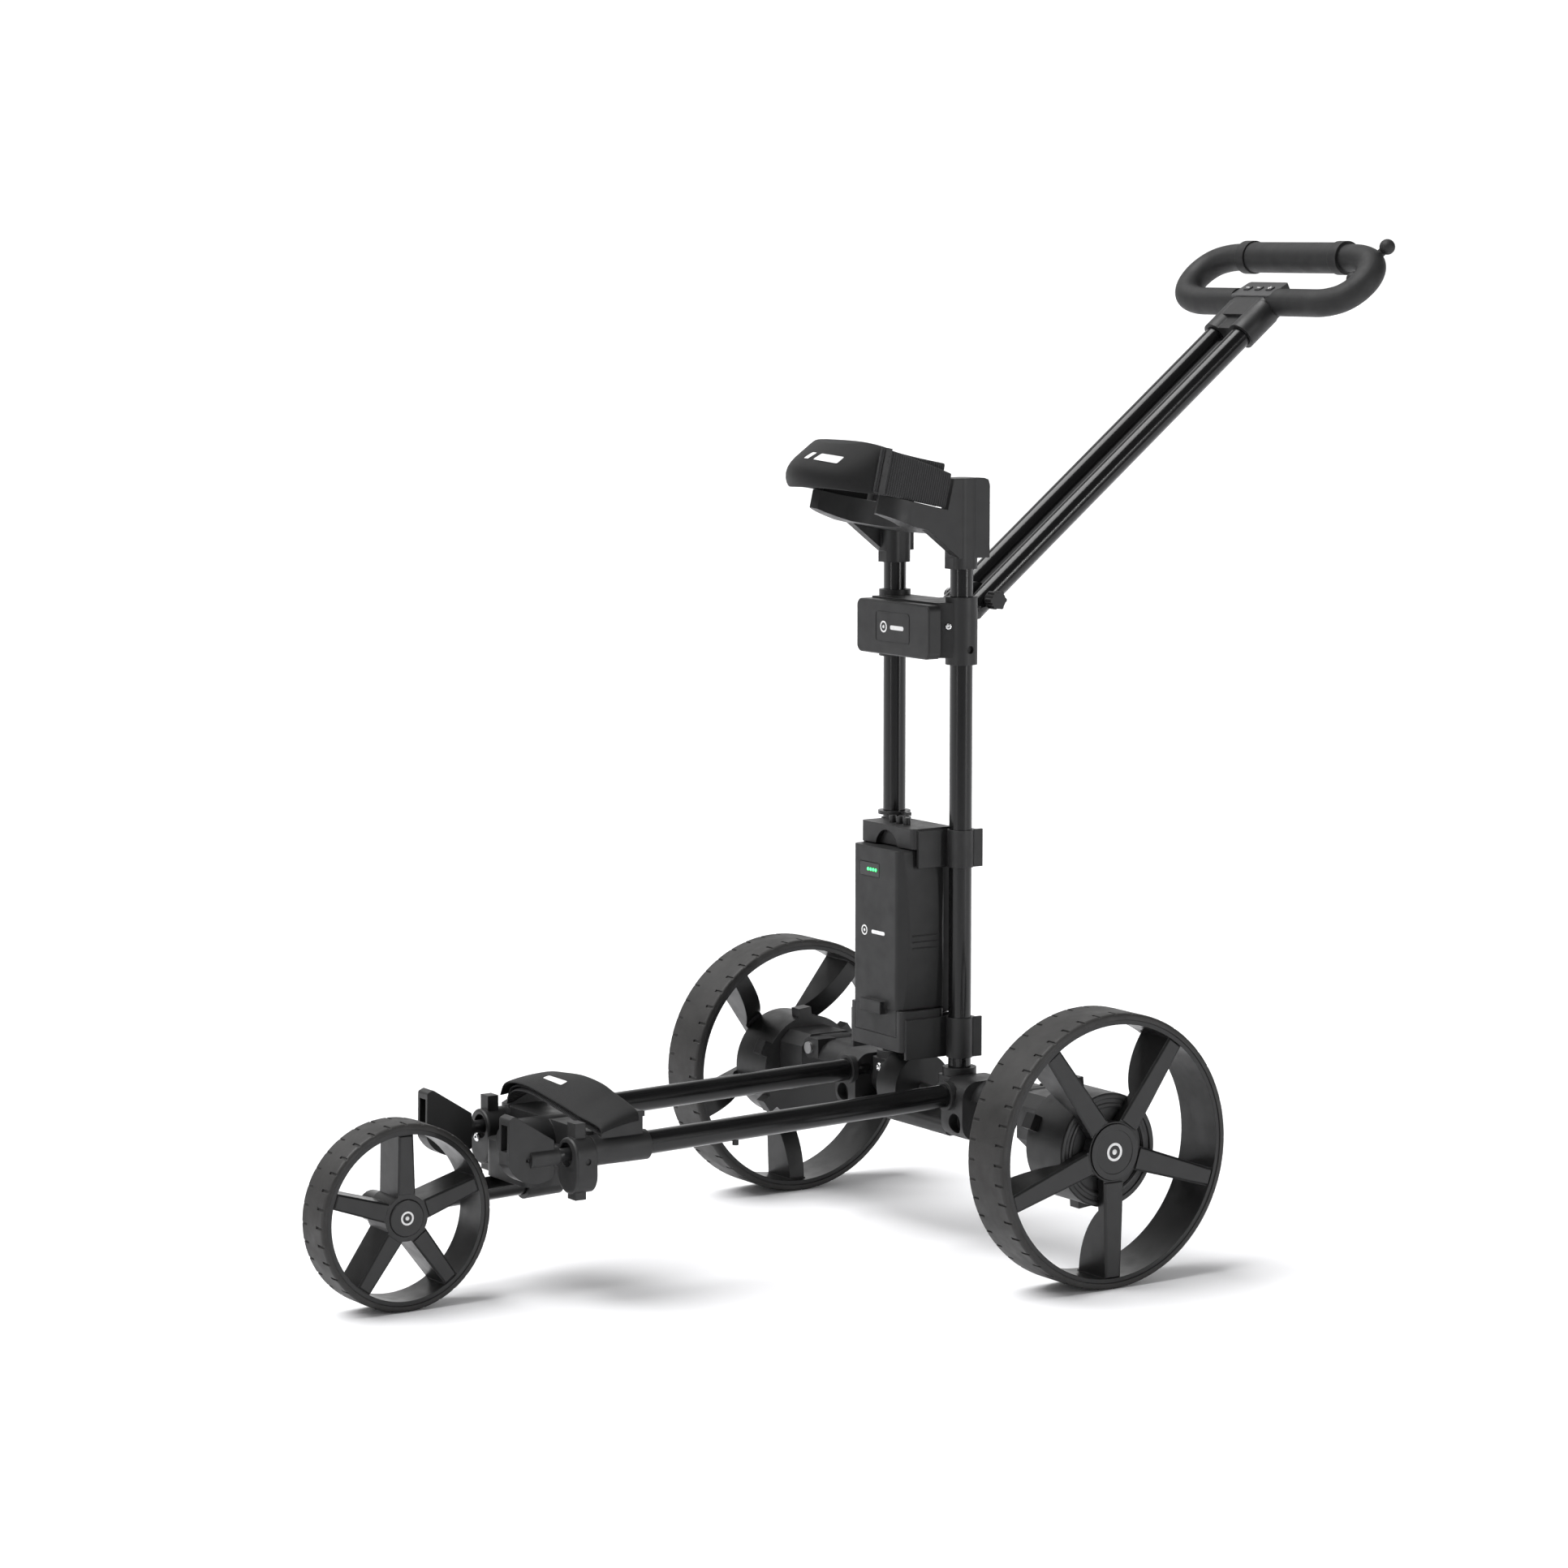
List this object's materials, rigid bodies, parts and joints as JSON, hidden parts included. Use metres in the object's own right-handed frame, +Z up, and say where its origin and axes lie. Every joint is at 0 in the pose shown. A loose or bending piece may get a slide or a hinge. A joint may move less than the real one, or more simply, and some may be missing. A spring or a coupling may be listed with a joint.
{
  "type": "electric golf trolley",
  "caption": "Folding powered golf trolley: tube frame with bag cradle and straps, slide-in battery, geared motor wheels that tuck under, twisting front wheel and a folding loop handle.",
  "frame": {"origin": "bottom centre of the whole trolley's bounding box, on the ground", "axes": "+Z up, -Y towards the front wheel, +Y towards the handle, +X to the trolley's left as it drives forwards"},
  "size_m": [0.672, 1.3155, 1.1203],
  "materials": {
    "tube": "satin black anodised",
    "housing": "fine grained charcoal",
    "steel": "brushed",
    "black_metal": "satin black",
    "webbing": "woven black",
    "battery_shell": "fine grained charcoal",
    "cell": "wrapped",
    "window": "dark window with green lights",
    "grip_rubber": "soft",
    "panel": "satin grey",
    "button": "soft touch",
    "drum": "fine grained charcoal",
    "rim": "satin black",
    "tyre": "soft tread",
    "cap": "satin"
  },
  "bodies": {
    "chassis": {"longerons": "tube", "rear_bracket_left": "housing", "rear_bracket_right": "housing", "cross_beam": "housing", "fold_shaft": "steel", "wheel_hinge_pins": "steel", "front_sleeves": "housing", "wing_mounts": "housing", "wing_pins": "black_metal", "front_bridge": "housing", "lower_strap": "webbing"},
    "uprights": {"uprights": "tube", "hinge_shoes": "housing", "battery_dock": "housing", "battery_tray": "housing", "dock_terminals": "steel", "hub_box": "housing", "cradle": "housing", "upper_strap": "webbing", "strap_buckle": "black_metal"},
    "battery": {"battery_case": "battery_shell", "battery_cells": "cell", "battery_display": "window"},
    "handle": {"handle_tubes": "tube", "tube_plugs": "housing", "handle_bolt": "steel", "handle_neck": "housing", "handle_loop": "housing", "grip": "grip_rubber", "control_panel": "panel"},
    "clamp_knob": {"clamp_knob": "housing"},
    "button_slower": {"button_slower": "button"},
    "button_power": {"button_power": "button"},
    "button_faster": {"button_faster": "button"},
    "accessory_screw": {"accessory_screw": "housing"},
    "rear_arm_left": {"gearbox_left": "housing", "gear_train_left": "steel", "motor_drum_left": "drum", "motor_left": "steel"},
    "rear_arm_right": {"gearbox_right": "housing", "gear_train_right": "steel", "motor_drum_right": "drum", "motor_right": "steel"},
    "rear_wheel_left": {"rear_axle_left": "steel", "rear_rim_left": "rim", "rear_tyre_left": "tyre", "rear_cap_left": "cap"},
    "rear_wheel_right": {"rear_axle_right": "steel", "rear_rim_right": "rim", "rear_tyre_right": "tyre", "rear_cap_right": "cap"},
    "front_arm": {"front_arm": "tube", "front_axle": "steel"},
    "axle_release": {"axle_release": "button"},
    "front_wheel": {"front_tyre": "tyre", "front_rim": "rim", "front_cap": "cap"},
    "wing_left": {"wing_left": "housing"},
    "wing_right": {"wing_right": "housing"}
  },
  "joints": [
    {"name": "frame_fold", "type": "hinge", "parent": "chassis", "child": "uprights", "pos_m": [0, 0.11475, 0.168], "axis": [-1, 0, 0], "range_deg": [-65, 0]},
    {"name": "handle_fold", "type": "hinge", "parent": "uprights", "child": "handle", "pos_m": [0, 0.17475, 0.721], "axis": [1, 0, 0], "range_deg": [-118, 51.6]},
    {"name": "clamp_turn", "type": "hinge", "parent": "handle", "child": "clamp_knob", "pos_m": [0.044, 0.17475, 0.721], "axis": [1, 0, 0], "continuous": true},
    {"name": "accessory_screw_turn", "type": "hinge", "parent": "handle", "child": "accessory_screw", "pos_m": [0.139, 0.63215, 1.093], "axis": [0.6395, 0.3597, 0.6795], "continuous": true},
    {"name": "battery_out", "type": "slide", "parent": "uprights", "child": "battery", "axis": [0, -1, 0], "range_m": [0, 0.06]},
    {"name": "front_arm_twist", "type": "hinge", "parent": "chassis", "child": "front_arm", "pos_m": [-0.053, -0.55725, 0.1005], "axis": [0, 0.9994, 0.0349], "range_deg": [0, 90]},
    {"name": "front_wheel_spin", "type": "hinge", "parent": "front_arm", "child": "front_wheel", "pos_m": [-0.01, -0.55725, 0.1005], "axis": [1, 0, 0], "continuous": true},
    {"name": "axle_release_push", "type": "slide", "parent": "front_arm", "child": "axle_release", "axis": [1, 0, 0], "range_m": [0, 0.002], "stiffness_N_per_m": 1500, "springref_m": -0.001},
    {"name": "button_slower_press", "type": "slide", "parent": "handle", "child": "button_slower", "axis": [0, 0.454, -0.891], "range_m": [0, 0.0012], "stiffness_N_per_m": 400, "springref_m": -0.0005},
    {"name": "button_power_press", "type": "slide", "parent": "handle", "child": "button_power", "axis": [0, 0.454, -0.891], "range_m": [0, 0.0012], "stiffness_N_per_m": 400, "springref_m": -0.0005},
    {"name": "button_faster_press", "type": "slide", "parent": "handle", "child": "button_faster", "axis": [0, 0.454, -0.891], "range_m": [0, 0.0012], "stiffness_N_per_m": 400, "springref_m": -0.0005},
    {"name": "wheel_fold_left", "type": "hinge", "parent": "chassis", "child": "rear_arm_left", "pos_m": [0.198, 0.12775, 0.187], "axis": [0, 1, 0], "range_deg": [0, 90]},
    {"name": "rear_wheel_spin_left", "type": "hinge", "parent": "rear_arm_left", "child": "rear_wheel_left", "pos_m": [0.304, 0.12775, 0.15], "axis": [1, 0, 0], "continuous": true},
    {"name": "wing_fold_left", "type": "hinge", "parent": "chassis", "child": "wing_left", "pos_m": [0.092, -0.44225, 0.1658], "axis": [0, -1, 0], "range_deg": [0, 90]},
    {"name": "wheel_fold_right", "type": "hinge", "parent": "chassis", "child": "rear_arm_right", "pos_m": [-0.198, 0.12775, 0.187], "axis": [0, -1, 0], "range_deg": [0, 90]},
    {"name": "rear_wheel_spin_right", "type": "hinge", "parent": "rear_arm_right", "child": "rear_wheel_right", "pos_m": [-0.304, 0.12775, 0.15], "axis": [1, 0, 0], "continuous": true},
    {"name": "wing_fold_right", "type": "hinge", "parent": "chassis", "child": "wing_right", "pos_m": [-0.092, -0.44225, 0.1658], "axis": [0, 1, 0], "range_deg": [0, 90]}
  ]
}
